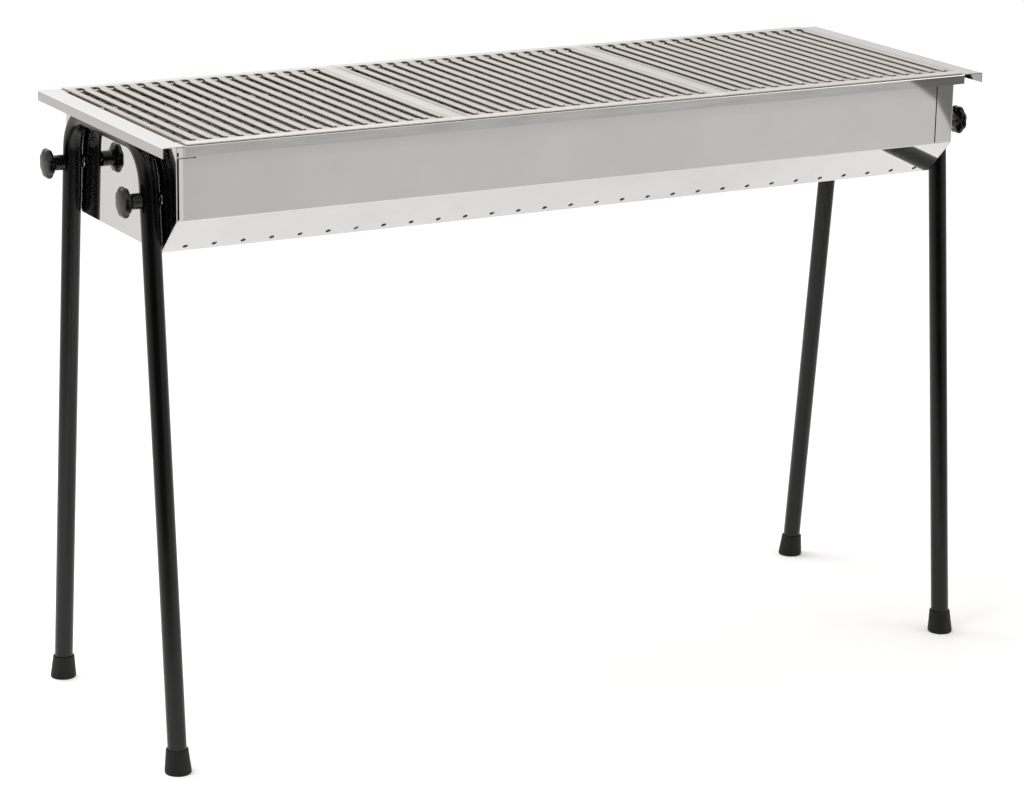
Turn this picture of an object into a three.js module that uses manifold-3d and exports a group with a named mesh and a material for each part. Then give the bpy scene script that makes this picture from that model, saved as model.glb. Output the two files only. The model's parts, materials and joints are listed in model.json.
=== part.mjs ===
// A free-standing charcoal grill: a folded stainless trough on two bent-tube leg frames, with three
// cooking grates that lie across its rim and three charcoal plates inside.
// Units are millimetres. X runs along the grill, Y from the cook's side (-Y) to the back, Z is up,
// and the floor is Z = 0. The grill is centred on X = 0 and Y = 0.
import * as THREE from "three";
import Module from "manifold-3d";
import { mergeVertices } from "three/addons/utils/BufferGeometryUtils.js";

const wasm = await Module();
wasm.setup();

// ---- Driving dimensions -------------------------------------------------------------------------
const CLEARANCE = 0.3; // air left between two separate pieces that touch on the real grill
const SHEET = 1; // trough and end plates
const OVERCUT = 5; // how far a cutter runs on past the piece it cuts

const RIM_Z = 824; // top of the rim
const FOLD_Z = 723; // fold between a wall and its slope
const FLOOR_PAN_Z = 673; // underside of the trough
const WALL_Y = 180; // outside of the front and rear walls
const FLOOR_PAN_Y = 130; // where a slope meets the flat underside
const RIM_Y = 206; // front and rear edges of the rim
const LIP_DROP = 13.5; // height of the turned-down edge all round

const END_X = 590; // outside of the end plates
const END_RIM_X = 619; // outer edge of the end plates' rims
const RETURN_WIDTH = 28; // the end plates' edges, folded round the corners
const HIDDEN_RETURN_LIFT = 4; // the return behind the wall ends this far above the fold
const SHOWING_RETURN_LIFT = 1; // and the one over the wall ends this far above it
const CORNER_GROOVE = 2.5; // where a wall stops short of the corner
const RELIEF_SLIT = { length: 20, height: 1.2, z: 806 };

const AIR_HOLE = { count: 29, pitch: 40, radius: 3.5, sides: 6, downSlope: 0.85 };

const GRATE = {
  pitch: 396.9, // from one grate to the next, with a bridge bar between them
  width: 377.4,
  depth: 410,
  sheet: 1.7,
  slots: 17,
  slotPitch: 21.59,
  slotWidth: 10.8,
  slotLength: 375,
  edgeDrop: 7, // the slots' long edges are turned down this far
  edgeLength: 352,
};
const BRIDGE = { width: 18.5, depth: 20, sideLength: 350 };

const COAL_PLATE = {
  length: 380,
  pitch: 382,
  halfDepth: 173,
  sheet: 2,
  z: 718,
  rows: 8,
  rowPitch: 40,
  slotsPerRow: 6,
  slotPitch: 60,
  slotLength: 46,
  slotWidth: 14,
};

const TUBE = { radius: 12.5, wall: 1.5, x: 603.5, sides: 14, bendRadius: 55, bendSteps: 7 };
const CROSSBAR_Z = 810; // centre line of the tube that runs under the rim
const LEG_TOP_Y = 119.6; // where a leg's centre line would reach the rim
const LEG_FOOT_Y = 197.4; // where it reaches the floor
const TUBE_END = 6; // length of leg left out inside the rubber foot

const FOOT = {
  height: 32,
  socketFit: 0.2,
  soleRadius: 17, // at the floor
  flareRadius: 17.5, // the widest part
  flareZ: 3,
  waistRadius: 16, // just above the flare
  waistZ: 6,
  neckRadius: 14.3,
  neckZ: 29,
  topRadius: 13.2,
  sides: 20,
};

const CLAMP_Z = 742; // height of the four clamp screws
const STUD = { radius: 4, hole: 4.5, outerX: 639, innerX: 579.5 };
const NUT = { acrossFlats: 13, height: 6.5 };
const SPACER = { radius: 9, gap: 0.15 }; // a thin washer, with a small gap on each side
const KNOB = {
  hubRadius: 10.3,
  hubLength: 16,
  headRadius: 20.5,
  headLength: 12,
  edge: 5, // the head's rim is tapered off by this much, towards the hub and towards the face
  backTaper: 4,
  faceStep: 1,
  sides: 20,
};
const ROD_SIDES = 16;
const SMALL_ROD_SIDES = 12;

// ---- Materials ----------------------------------------------------------------------------------
const makeMaterial = (color, roughness, metalness) =>
  new THREE.MeshStandardMaterial({ color, roughness, metalness });
const POLISHED_STEEL = makeMaterial(0xcfcfcf, 0.15, 1);
const GRATE_STEEL = makeMaterial(0xc4c0ba, 0.3, 1);
const ZINC_STEEL = makeMaterial(0xb8bbbd, 0.35, 1);
const BLACK_PAINT = makeMaterial(0x141414, 0.4, 0.2);
const BLACK_RUBBER = makeMaterial(0x181818, 0.85, 0);
const BLACK_PLASTIC = makeMaterial(0x0d0d0d, 0.25, 0);

// ---- Solid modelling helpers --------------------------------------------------------------------
function toSolid(geometry) {
  const bare = new THREE.BufferGeometry();
  const flat = geometry.index ? geometry.toNonIndexed() : geometry;
  bare.setAttribute("position", flat.getAttribute("position"));
  const merged = mergeVertices(bare, 1e-3);
  const mesh = new wasm.Mesh({
    numProp: 3,
    vertProperties: new Float32Array(merged.attributes.position.array),
    triVerts: new Uint32Array(merged.index.array),
  });
  return new wasm.Manifold(mesh);
}

function toGeometry(solid) {
  const mesh = solid.getMesh();
  const geometry = new THREE.BufferGeometry();
  geometry.setAttribute("position", new THREE.BufferAttribute(mesh.vertProperties, 3));
  geometry.setIndex(new THREE.BufferAttribute(mesh.triVerts, 1));
  geometry.computeVertexNormals();
  return geometry;
}

const join = (...parts) => toGeometry(wasm.Manifold.union(parts.map(toSolid)));

function cut(body, cutters) {
  return toGeometry(wasm.Manifold.difference([toSolid(body), ...cutters.map(toSolid)]));
}

// A box from its lowest and highest corners.
function block(low, high) {
  const size = high.map((value, axis) => value - low[axis]);
  const centre = high.map((value, axis) => (value + low[axis]) / 2);
  return new THREE.BoxGeometry(...size).translate(...centre);
}

// A cylinder along X, from x0 to x1, centred on y and z.
function rodAlongX(x0, x1, y, z, radius, sides = ROD_SIDES) {
  const rod = new THREE.CylinderGeometry(radius, radius, x1 - x0, sides);
  return rod.rotateZ(Math.PI / 2).translate((x0 + x1) / 2, y, z);
}

// Extrudes an outline drawn in the YZ plane along X, from x0 to x1.
function extrudeAlongX(outline, x0, x1) {
  const shape = new THREE.Shape(outline);
  const solid = new THREE.ExtrudeGeometry(shape, { depth: x1 - x0, bevelEnabled: false });
  const yAxis = new THREE.Vector3(0, 1, 0);
  const zAxis = new THREE.Vector3(0, 0, 1);
  const xAxis = new THREE.Vector3(1, 0, 0);
  solid.applyMatrix4(new THREE.Matrix4().makeBasis(yAxis, zAxis, xAxis));
  return solid.translate(x0, 0, 0);
}

// The closed outline of a folded sheet: an open line of folds, and the same line moved to its left.
function foldedSheet(line, thickness) {
  const leftOf = (from, to) => {
    const along = to.clone().sub(from).normalize();
    return new THREE.Vector2(-along.y, along.x);
  };
  const moved = line.map((point, i) => {
    const before = leftOf(line[Math.max(i - 1, 0)], line[Math.max(i, 1)]);
    const after = leftOf(line[Math.min(i, line.length - 2)], line[Math.min(i + 1, line.length - 1)]);
    const mitre = before.clone().add(after).normalize();
    return point.clone().addScaledVector(mitre, thickness / mitre.dot(before));
  });
  return [...line, ...moved.reverse()];
}

const points = (...pairs) => pairs.map(([a, b]) => new THREE.Vector2(a, b));

// Centres of equal steps, spread evenly about zero.
const spread = (count, pitch) => Array.from({ length: count }, (_, i) => (i - (count - 1) / 2) * pitch);

// Turns a solid half a turn about the vertical, which carries the left end to the right end.
const halfTurn = (geometry) => geometry.clone().rotateZ(Math.PI);

// ---- Trough -------------------------------------------------------------------------------------
// One sheet, folded down from the front lip, under the charcoal and up to the rear lip.
function troughProfile() {
  const lipY = RIM_Y - SHEET;
  const lipZ = RIM_Z - LIP_DROP;
  const rimZ = RIM_Z - SHEET;
  const front = points(
    [-lipY, lipZ],
    [-lipY, rimZ],
    [-WALL_Y, rimZ],
    [-WALL_Y, FOLD_Z],
    [-FLOOR_PAN_Y, FLOOR_PAN_Z],
  );
  const rear = front.map((point) => new THREE.Vector2(-point.x, point.y)).reverse();
  return foldedSheet([...front, ...rear], SHEET);
}

function airHole(x, side) {
  const { radius, sides, downSlope } = AIR_HOLE;
  const y = THREE.MathUtils.lerp(WALL_Y, FLOOR_PAN_Y, downSlope) * side;
  const z = THREE.MathUtils.lerp(FOLD_Z, FLOOR_PAN_Z, downSlope);
  const slope = Math.atan2(FOLD_Z - FLOOR_PAN_Z, WALL_Y - FLOOR_PAN_Y);
  const drill = new THREE.CylinderGeometry(radius, radius, 2 * OVERCUT, sides);
  return drill.rotateX(Math.PI / 2 + side * slope).translate(x, y, z);
}

// At one end of each wall the sheet stops short of the corner, with a relief slit under the lip.
function wallEndCuts() {
  const end = END_X - SHEET;
  const wallY = [-WALL_Y - SHEET, -WALL_Y + 2 * SHEET];
  const groove = block(
    [-end - OVERCUT, wallY[0], FOLD_Z],
    [-END_X + CORNER_GROOVE, wallY[1], RIM_Z - LIP_DROP],
  );
  const slitEnd = -END_X + CORNER_GROOVE + RELIEF_SLIT.length;
  const slit = block(
    [-end - OVERCUT, wallY[0], RELIEF_SLIT.z - RELIEF_SLIT.height / 2],
    [slitEnd, wallY[1], RELIEF_SLIT.z + RELIEF_SLIT.height / 2],
  );
  return [groove, slit, halfTurn(groove), halfTurn(slit)];
}

function troughShell() {
  const halfLength = END_X - SHEET - CLEARANCE;
  const sheet = extrudeAlongX(troughProfile(), -halfLength, halfLength);
  const holes = [];
  for (const x of spread(AIR_HOLE.count, AIR_HOLE.pitch)) {
    holes.push(airHole(x, -1), airHole(x, 1));
  }
  return cut(sheet, [...holes, ...wallEndCuts()]);
}

// ---- End plates ---------------------------------------------------------------------------------
const legSlope = (LEG_FOOT_Y - LEG_TOP_Y) / RIM_Z;
const legY = (z) => LEG_TOP_Y + (RIM_Z - z) * legSlope;
const CLAMP_Y = legY(CLAMP_Z);

// The left end plate. Its front edge folds in behind the front wall and its rear edge folds round
// over the rear wall; the same plate, turned half a turn, closes the right end.
function endPlate() {
  const inside = -END_X + SHEET;
  const outline = points(
    [-WALL_Y, RIM_Z],
    [-WALL_Y, FOLD_Z],
    [-FLOOR_PAN_Y, FLOOR_PAN_Z],
    [FLOOR_PAN_Y, FLOOR_PAN_Z],
    [WALL_Y, FOLD_Z],
    [WALL_Y, RIM_Z],
  );
  const plate = extrudeAlongX(outline, -END_X, inside);
  const rim = block([-END_RIM_X, -RIM_Y, RIM_Z - SHEET], [inside, RIM_Y, RIM_Z]);
  const lip = block([-END_RIM_X, -RIM_Y, RIM_Z - LIP_DROP], [-END_RIM_X + SHEET, RIM_Y, RIM_Z]);
  const innerY = -WALL_Y + SHEET + CLEARANCE;
  const hiddenReturn = block(
    [-END_X, innerY, FOLD_Z + HIDDEN_RETURN_LIFT],
    [-END_X + RETURN_WIDTH, innerY + SHEET, RIM_Z - LIP_DROP],
  );
  const outerY = WALL_Y + CLEARANCE;
  const showingReturn = block(
    [-END_X, outerY, FOLD_Z + SHOWING_RETURN_LIFT],
    [-END_X + RETURN_WIDTH, outerY + SHEET, RIM_Z - LIP_DROP],
  );
  const corner = block(
    [-END_X, WALL_Y - SHEET, FOLD_Z + SHOWING_RETURN_LIFT],
    [inside, outerY + SHEET, RIM_Z - LIP_DROP],
  );
  const body = join(plate, rim, lip, hiddenReturn, showingReturn, corner);
  const studHoles = [-1, 1].map((side) =>
    rodAlongX(-END_X - OVERCUT, -END_X + OVERCUT, side * CLAMP_Y, CLAMP_Z, STUD.hole),
  );
  return cut(body, studHoles);
}

// ---- Bridge bars and cooking grates -------------------------------------------------------------
const GRATE_Z = RIM_Z + CLEARANCE; // underside of a grate's frame
const GRATE_TOP = GRATE_Z + GRATE.sheet;

// An upside-down channel that spans the trough between two grates, level with them.
function bridgeBar(x) {
  const half = BRIDGE.width / 2;
  const top = block([-half, -GRATE.depth / 2, GRATE_Z], [half, GRATE.depth / 2, GRATE_TOP]);
  const side = (sign) => {
    const outer = sign * half;
    const inner = sign * (half - GRATE.sheet);
    const low = [Math.min(outer, inner), -BRIDGE.sideLength / 2, GRATE_TOP - BRIDGE.depth];
    return block(low, [Math.max(outer, inner), BRIDGE.sideLength / 2, GRATE_TOP]);
  };
  return join(top, side(-1), side(1)).translate(x, 0, 0);
}

// One pressed sheet: slots cut along Y, with the strips between them folded down at both edges.
function cookingGrate(x) {
  const { width, depth, sheet, slotWidth, edgeLength, edgeDrop } = GRATE;
  const frame = block([-width / 2, -depth / 2, GRATE_Z], [width / 2, depth / 2, GRATE_TOP]);
  const slotEnd = GRATE.slotLength / 2;
  const slots = [];
  const edges = [];
  for (const centre of spread(GRATE.slots, GRATE.slotPitch)) {
    const left = centre - slotWidth / 2;
    const right = centre + slotWidth / 2;
    slots.push(block([left, -slotEnd, GRATE_Z - OVERCUT], [right, slotEnd, GRATE_TOP + OVERCUT]));
    const low = GRATE_TOP - edgeDrop;
    edges.push(block([left - sheet, -edgeLength / 2, low], [left, edgeLength / 2, GRATE_TOP]));
    edges.push(block([right, -edgeLength / 2, low], [right + sheet, edgeLength / 2, GRATE_TOP]));
  }
  return join(cut(frame, slots), ...edges).translate(x, 0, 0);
}

// ---- Charcoal plates ----------------------------------------------------------------------------
// A slotted plate that lies on the two slopes and holds the charcoal over the air holes.
function charcoalPlate(x) {
  const { length, halfDepth, sheet, rows, rowPitch, slotsPerRow, slotPitch } = COAL_PLATE;
  const along = COAL_PLATE.slotLength / 2;
  const across = COAL_PLATE.slotWidth / 2;
  const plate = block([-length / 2, -halfDepth, 0], [length / 2, halfDepth, sheet]);
  const slots = [];
  for (const y of spread(rows, rowPitch)) {
    for (const centre of spread(slotsPerRow, slotPitch)) {
      const low = [centre - along, y - across, -OVERCUT];
      slots.push(block(low, [centre + along, y + across, sheet + OVERCUT]));
    }
  }
  return cut(plate, slots).translate(x, 0, COAL_PLATE.z);
}

// ---- Leg frames ---------------------------------------------------------------------------------
// The centre line of an upside-down U: up one splayed leg, round a bend, along the crossbar and down
// the other leg. It is sampled only where the tube starts, ends or bends.
class LegFramePath extends THREE.Curve {
  constructor(overrun) {
    super();
    const { bendRadius, bendSteps } = TUBE;
    const splay = Math.atan(legSlope);
    const bendZ = CROSSBAR_Z - bendRadius;
    const bendY = legY(bendZ) - bendRadius / Math.cos(splay);
    const up = new THREE.Vector3(0, Math.sin(splay), Math.cos(splay));
    const endZ = TUBE_END - overrun;
    this.stations = [{ at: new THREE.Vector3(0, -legY(endZ), endZ), along: up }];
    for (let i = 0; i <= bendSteps; i++) {
      const angle = THREE.MathUtils.lerp(splay, Math.PI / 2, i / bendSteps);
      const along = new THREE.Vector3(0, Math.sin(angle), Math.cos(angle));
      const y = -bendY - bendRadius * Math.cos(angle);
      const z = bendZ + bendRadius * Math.sin(angle);
      this.stations.push({ at: new THREE.Vector3(0, y, z), along });
    }
    const mirrored = this.stations.map(({ at, along }) => ({
      at: new THREE.Vector3(0, -at.y, at.z),
      along: new THREE.Vector3(0, along.y, -along.z),
    }));
    this.stations.push(...mirrored.reverse());
    this.steps = this.stations.length - 1;
  }
  getPointAt(u) {
    return this.stations[Math.round(u * this.steps)].at.clone();
  }
  getTangentAt(u) {
    return this.stations[Math.round(u * this.steps)].along.clone();
  }
}

function sweptRound(radius, overrun) {
  const path = new LegFramePath(overrun);
  const section = new THREE.Shape();
  for (let i = 0; i < TUBE.sides; i++) {
    const angle = (i / TUBE.sides) * 2 * Math.PI;
    const corner = [radius * Math.cos(angle), radius * Math.sin(angle)];
    if (i === 0) section.moveTo(...corner);
    else section.lineTo(...corner);
  }
  return new THREE.ExtrudeGeometry(section, { steps: path.steps, extrudePath: path });
}

function legFrame(side) {
  const outside = sweptRound(TUBE.radius, 0);
  const inside = sweptRound(TUBE.radius - TUBE.wall, OVERCUT);
  const holes = [-1, 1].map((end) =>
    rodAlongX(-2 * TUBE.radius, 2 * TUBE.radius, end * CLAMP_Y, CLAMP_Z, STUD.hole),
  );
  return cut(outside, [inside, ...holes]).translate(side * TUBE.x, 0, 0);
}

// A tapered ferrule, pushed over the end of a leg, with a level sole.
function rubberFoot(side, end) {
  const below = 4; // the turned shape runs on below the floor, and is cut off level
  const outline = points(
    [0, -below],
    [FOOT.soleRadius, -below],
    [FOOT.flareRadius, FOOT.flareZ],
    [FOOT.waistRadius, FOOT.waistZ],
    [FOOT.neckRadius, FOOT.neckZ],
    [FOOT.topRadius, FOOT.height],
    [0, FOOT.height],
  );
  const socketStart = TUBE_END - 1;
  const socketRadius = TUBE.radius + FOOT.socketFit;
  const socket = new THREE.CylinderGeometry(socketRadius, socketRadius, FOOT.height, FOOT.sides);
  socket.rotateX(Math.PI / 2).translate(0, 0, socketStart + FOOT.height / 2);
  const turned = new THREE.LatheGeometry(outline, FOOT.sides).rotateX(Math.PI / 2);
  const splay = Math.atan(legSlope) * end;
  const wide = 2 * FOOT.flareRadius;
  const floorCut = block([-wide, -wide, -2 * below], [wide, wide, 0]);
  const leaning = cut(turned, [socket]).rotateX(splay);
  return cut(leaning, [floorCut]).translate(side * TUBE.x, end * LEG_FOOT_Y, 0);
}

// ---- Clamp screws -------------------------------------------------------------------------------
// Each one is built for the right end, pointing along +X, and turned round for the left end.
function placeClamp(geometry, side, end) {
  if (side < 0) geometry.rotateZ(Math.PI);
  return geometry.translate(0, end * CLAMP_Y, CLAMP_Z);
}

function knob(side, end) {
  const { hubRadius, hubLength, headRadius, headLength, edge, backTaper, faceStep, sides } = KNOB;
  const base = TUBE.x + TUBE.radius + CLEARANCE;
  const boreRadius = STUD.radius + CLEARANCE;
  const boreEnd = STUD.outerX - base + CLEARANCE;
  const top = hubLength + headLength;
  const outline = points(
    [boreRadius, 0],
    [hubRadius, 0],
    [hubRadius, hubLength],
    [headRadius - edge, hubLength],
    [headRadius, hubLength + backTaper],
    [headRadius, top - edge],
    [headRadius - edge, top - faceStep],
    [0, top],
    [0, boreEnd],
    [boreRadius, boreEnd],
  );
  outline.push(outline[0].clone());
  const turned = new THREE.LatheGeometry(outline, sides).rotateZ(-Math.PI / 2);
  return placeClamp(turned.translate(base, 0, 0), side, end);
}

function stud(side, end) {
  const { innerX, outerX, radius } = STUD;
  return placeClamp(rodAlongX(innerX, outerX, 0, 0, radius, SMALL_ROD_SIDES), side, end);
}

function weldNut(side, end) {
  const outer = END_X - SHEET - CLEARANCE;
  const inner = outer - NUT.height;
  const cornerRadius = NUT.acrossFlats / Math.sqrt(3);
  const hexagon = rodAlongX(inner, outer, 0, 0, cornerRadius, 6);
  const boreRadius = STUD.radius + CLEARANCE;
  const thread = rodAlongX(inner - OVERCUT, outer + OVERCUT, 0, 0, boreRadius, SMALL_ROD_SIDES);
  return placeClamp(cut(hexagon, [thread]), side, end);
}

function spacer(side, end) {
  const inner = END_X + SPACER.gap;
  const outer = TUBE.x - TUBE.radius - SPACER.gap;
  const ring = rodAlongX(inner, outer, 0, 0, SPACER.radius);
  const hole = rodAlongX(inner - OVERCUT, outer + OVERCUT, 0, 0, STUD.hole, SMALL_ROD_SIDES);
  return placeClamp(cut(ring, [hole]), side, end);
}

// ---- Assembly -----------------------------------------------------------------------------------
const grill = new THREE.Group();

function add(name, geometry, material) {
  const mesh = new THREE.Mesh(geometry, material);
  mesh.name = name;
  grill.add(mesh);
}

add("trough_shell", troughShell(), POLISHED_STEEL);
add("end_plate_left", endPlate(), POLISHED_STEEL);
add("end_plate_right", halfTurn(endPlate()), POLISHED_STEEL);
add("bridge_bar_left", bridgeBar(-GRATE.pitch / 2), GRATE_STEEL);
add("bridge_bar_right", bridgeBar(GRATE.pitch / 2), GRATE_STEEL);

["left", "centre", "right"].forEach((place, i) => {
  add(`cooking_grate_${place}`, cookingGrate((i - 1) * GRATE.pitch), GRATE_STEEL);
  add(`charcoal_plate_${place}`, charcoalPlate((i - 1) * COAL_PLATE.pitch), ZINC_STEEL);
});

for (const [sideName, side] of [["left", -1], ["right", 1]]) {
  add(`leg_frame_${sideName}`, legFrame(side), BLACK_PAINT);
  for (const [endName, end] of [["front", -1], ["rear", 1]]) {
    const place = `${endName}_${sideName}`;
    add(`foot_${place}`, rubberFoot(side, end), BLACK_RUBBER);
    add(`knob_${place}`, knob(side, end), BLACK_PLASTIC);
    add(`stud_${place}`, stud(side, end), ZINC_STEEL);
    add(`weld_nut_${place}`, weldNut(side, end), ZINC_STEEL);
    add(`spacer_${place}`, spacer(side, end), ZINC_STEEL);
  }
}

export default grill;
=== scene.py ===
"""Looks of a free-standing stainless charcoal grill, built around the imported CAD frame.

Every piece is modelled here in metres, in the frame's own place, and stands for the CAD node of the
same name.
"""

import json
import math

import bmesh
import bpy
from mathutils import Matrix, Vector


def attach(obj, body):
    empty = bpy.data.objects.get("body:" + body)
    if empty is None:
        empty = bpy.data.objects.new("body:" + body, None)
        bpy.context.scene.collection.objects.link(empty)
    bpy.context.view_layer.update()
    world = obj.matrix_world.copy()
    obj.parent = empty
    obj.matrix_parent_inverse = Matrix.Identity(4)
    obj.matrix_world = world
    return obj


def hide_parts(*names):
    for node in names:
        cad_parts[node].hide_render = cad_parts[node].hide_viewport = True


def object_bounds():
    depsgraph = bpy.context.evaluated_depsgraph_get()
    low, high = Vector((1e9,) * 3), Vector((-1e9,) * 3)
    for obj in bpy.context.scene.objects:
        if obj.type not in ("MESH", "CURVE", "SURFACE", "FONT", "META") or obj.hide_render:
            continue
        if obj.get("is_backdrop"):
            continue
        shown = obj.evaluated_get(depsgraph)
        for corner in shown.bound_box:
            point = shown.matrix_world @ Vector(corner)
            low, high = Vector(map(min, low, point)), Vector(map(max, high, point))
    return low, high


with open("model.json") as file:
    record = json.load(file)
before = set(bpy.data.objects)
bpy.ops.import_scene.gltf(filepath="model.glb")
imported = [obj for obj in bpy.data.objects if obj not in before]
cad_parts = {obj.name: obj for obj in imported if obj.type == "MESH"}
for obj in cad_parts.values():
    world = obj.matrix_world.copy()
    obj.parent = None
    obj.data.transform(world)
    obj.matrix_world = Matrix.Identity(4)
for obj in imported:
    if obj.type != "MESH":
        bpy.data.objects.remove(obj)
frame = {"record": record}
cad_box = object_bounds()

MM = 0.001

# ---- Driving dimensions, in metres --------------------------------------------------------------
SHEET = 1 * MM
THROUGH = 8 * SHEET  # how long a cutter is that passes right through a sheet
BEND = 1 * MM  # inside radius of every fold in the sheet
CLEARANCE = 0.3 * MM  # air between two pieces that touch on the real grill
RIM_Z = 824 * MM
FOLD_Z = 723 * MM
PAN_Z = 673 * MM
WALL_Y = 180 * MM
PAN_Y = 130 * MM
RIM_Y = 206 * MM
LIP_DROP = 13.5 * MM
END_X = 590 * MM
END_RIM_X = 619 * MM
RETURN_WIDTH = 28 * MM
RETURN_EDGE = 8 * MM  # how far a return's line starts round the corner, to be joined to the plate
RETURN_LIFT = 2 * MM  # how far above the fold the returns and the grooves begin
SHELL_X = END_X - SHEET - CLEARANCE
CORNER_GROOVE = 4 * MM
SLIT_LENGTH = 23 * MM
SLIT_HEIGHT = 1.8 * MM
SLIT_Z = 803 * MM
CORNER_STRIP = 10 * MM

HOLES = 29
HOLE_PITCH = 40 * MM
HOLE_RADIUS = 3.5 * MM
HOLE_DOWN_SLOPE = 0.85

GRATE_PITCH = 396.9 * MM
GRATE_WIDTH = 377.4 * MM
GRATE_HALF_DEPTH = 205 * MM
GRATE_TOP = 826 * MM
GRATE_SHEET = 1.6 * MM
SLOTS = 17
SLOT_PITCH = 21.59 * MM
SLOT_WIDTH = 10.8 * MM
SLOT_END = 187.5 * MM
TURNED_END = 177 * MM  # the slots' edges are turned down only between the trough's walls
BAR_DROP = 4.0 * MM
BAR_SHOULDER = 2.2 * MM
BAR_CROWN = 0.3 * MM

BRIDGE_WIDTH = 18.5 * MM
BRIDGE_DROP = 20 * MM
BRIDGE_SIDE = 175 * MM

COAL_PITCH = 382 * MM
COAL_WIDTH = 380 * MM
COAL_HALF_DEPTH = 173 * MM
COAL_Z = 718 * MM
COAL_SHEET = 2 * MM

TUBE_RADIUS = 12.5 * MM
TUBE_WALL = 1.5 * MM
TUBE_X = 603.5 * MM
TUBE_BEND = 55 * MM
CROSSBAR_Z = 810 * MM
LEG_TOP_Y = 119.6 * MM
LEG_FOOT_Y = 197.4 * MM
TUBE_END = 6 * MM
CLAMP_Z = 742 * MM
STUD_RADIUS = 4 * MM
STUD_HOLE = 4.5 * MM

AZIMUTH = math.radians(-29.34)  # the camera stands this far round from straight ahead

SIDES = (("left", -1), ("right", 1))
ENDS = (("front", -1), ("rear", 1))
PLACES = (("left", -1), ("centre", 0), ("right", 1))

LEG_SLOPE = (LEG_FOOT_Y - LEG_TOP_Y) / RIM_Z


def leg_y(z):
    """Distance of a leg's centre line from the middle of the grill, at a height."""
    return LEG_TOP_Y + (RIM_Z - z) * LEG_SLOPE


CLAMP_Y = leg_y(CLAMP_Z)


# ---- Shader helpers -----------------------------------------------------------------------------
class Nodes:
    """A small wrapper that adds and links shader nodes."""

    def __init__(self, tree):
        self.tree = tree
        tree.nodes.clear()

    def add(self, kind, **settings):
        node = self.tree.nodes.new(kind)
        for key, value in settings.items():
            if key in node.inputs:
                node.inputs[key].default_value = value
            else:
                setattr(node, key, value)
        return node

    def link(self, output, target):
        self.tree.links.new(output, target)

    def coordinates(self, stretch=(1, 1, 1)):
        """Object coordinates, scaled along each axis."""
        place = self.add("ShaderNodeTexCoord")
        mapping = self.add("ShaderNodeMapping")
        mapping.inputs["Scale"].default_value = stretch
        self.link(place.outputs["Object"], mapping.inputs["Vector"])
        return mapping.outputs["Vector"]

    def position(self):
        """The object coordinates, under "X", "Y" and "Z"."""
        place = self.add("ShaderNodeTexCoord")
        split = self.add("ShaderNodeSeparateXYZ")
        self.link(place.outputs["Object"], split.inputs[0])
        return split.outputs

    def noise(self, stretch, scale, detail=4.0, roughness=0.55):
        node = self.add("ShaderNodeTexNoise")
        node.inputs["Scale"].default_value = scale
        node.inputs["Detail"].default_value = detail
        node.inputs["Roughness"].default_value = roughness
        self.link(self.coordinates(stretch), node.inputs["Vector"])
        return node.outputs["Fac"]

    def ramp(self, value, low, high, to_low=0.0, to_high=1.0):
        node = self.add("ShaderNodeMapRange")
        node.inputs["From Min"].default_value = low
        node.inputs["From Max"].default_value = high
        node.inputs["To Min"].default_value = to_low
        node.inputs["To Max"].default_value = to_high
        self.link(value, node.inputs["Value"])
        return node.outputs["Result"]

    def math(self, operation, first, second):
        node = self.add("ShaderNodeMath", operation=operation)
        for socket, value in zip(node.inputs, (first, second)):
            if isinstance(value, (int, float)):
                socket.default_value = value
            else:
                self.link(value, socket)
        return node.outputs["Value"]

    def size(self, value):
        return self.math("ABSOLUTE", value, 0.0)

    def mix(self, factor, first, second):
        """Mixes two colours, each a tuple or an output."""
        node = self.add("ShaderNodeMix", data_type="RGBA")
        sockets = {"Factor": factor, "A": first, "B": second}
        inputs = {"Factor": node.inputs[0], "A": node.inputs[6], "B": node.inputs[7]}
        for name, value in sockets.items():
            if isinstance(value, tuple):
                inputs[name].default_value = (*value, 1)
            elif isinstance(value, (int, float)):
                inputs[name].default_value = value
            else:
                self.link(value, inputs[name])
        return node.outputs[2]

    def mix_value(self, factor, first, second):
        node = self.add("ShaderNodeMix", data_type="FLOAT")
        for socket, value in ((node.inputs[0], factor), (node.inputs[2], first), (node.inputs[3], second)):
            if isinstance(value, (int, float)):
                socket.default_value = value
            else:
                self.link(value, socket)
        return node.outputs[0]

    def curve(self, value, points):
        """A smooth curve from -1..1 through (position, level) points."""
        node = self.add("ShaderNodeFloatCurve")
        curve = node.mapping.curves[0]
        node.mapping.clip_min_y, node.mapping.clip_max_y = 0, 2
        for i, (position, level) in enumerate(points):
            spot = ((position + 1) / 2, level)
            if i < 1:
                curve.points[0].location = spot
            elif i == len(points) - 1:
                curve.points[-1].location = spot
            else:
                curve.points.new(*spot)
        node.mapping.update()
        self.link(self.ramp(value, -1, 1), node.inputs["Value"])
        return node.outputs["Value"]

    def bump(self, height, strength, distance, normal=None):
        node = self.add("ShaderNodeBump")
        node.inputs["Strength"].default_value = strength
        node.inputs["Distance"].default_value = distance
        self.link(height, node.inputs["Height"])
        if normal is not None:
            self.link(normal, node.inputs["Normal"])
        return node.outputs["Normal"]

    def edge_mask(self, radius, low, high):
        """One near sharp edges, zero elsewhere."""
        bevel = self.add("ShaderNodeBevel", samples=4)
        bevel.inputs["Radius"].default_value = radius
        geometry = self.add("ShaderNodeNewGeometry")
        dot = self.add("ShaderNodeVectorMath", operation="DOT_PRODUCT")
        self.link(bevel.outputs["Normal"], dot.inputs[0])
        self.link(geometry.outputs["Normal"], dot.inputs[1])
        return self.ramp(dot.outputs["Value"], high, low)


def scaled(colour, share):
    """The colour times a number, or times one number for each channel."""
    shares = share if isinstance(share, tuple) else (share, share, share)
    return tuple(channel * part for channel, part in zip(colour, shares))


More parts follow.
